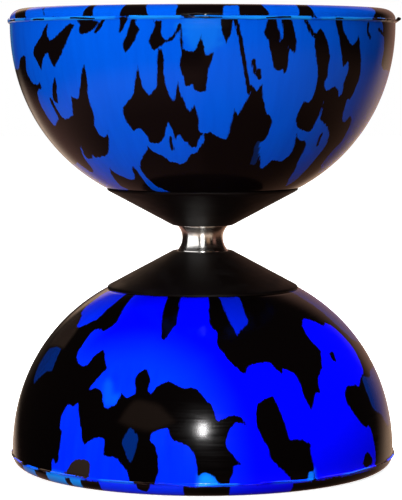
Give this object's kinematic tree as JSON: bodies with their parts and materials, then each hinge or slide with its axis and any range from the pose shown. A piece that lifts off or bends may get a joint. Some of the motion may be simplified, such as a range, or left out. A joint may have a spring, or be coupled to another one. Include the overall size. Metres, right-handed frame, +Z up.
{
  "type": "diabolo",
  "caption": "Juggling diabolo: marbled rubber bowl cups bolted back to back through plastic cones onto a waisted steel axle that the string runs on.",
  "frame": {"origin": "centre of the circle that the lower cup's rim stands on", "axes": "+Z up along the spin axis, from the lower cup's rim to the upper cup's rim; +X and +Y lie across it and are interchangeable"},
  "size_m": [0.1062, 0.1062, 0.125],
  "materials": {
    "axle_steel": "turned and polished",
    "cone_plastic": "satin black moulding",
    "lower_cup_rubber": "glossy, black marbled with deep blue",
    "upper_cup_rubber": "satin, black marbled with azure blue",
    "dish_plastic": "satin black moulding",
    "washer_zinc": "bright zinc plate",
    "spring_steel": "grey zinc plate",
    "bolt_zinc": "bright zinc plate"
  },
  "bodies": {
    "root": {"axle": "axle_steel", "lower_cone": "cone_plastic", "upper_cone": "cone_plastic", "lower_cup": "lower_cup_rubber", "upper_cup": "upper_cup_rubber", "lower_clamp_dish": "dish_plastic", "upper_clamp_dish": "dish_plastic", "lower_flat_washer": "washer_zinc", "upper_flat_washer": "washer_zinc", "lower_spring_washer": "spring_steel", "upper_spring_washer": "spring_steel", "lower_bolt": "bolt_zinc", "upper_bolt": "bolt_zinc"}
  },
  "joints": []
}
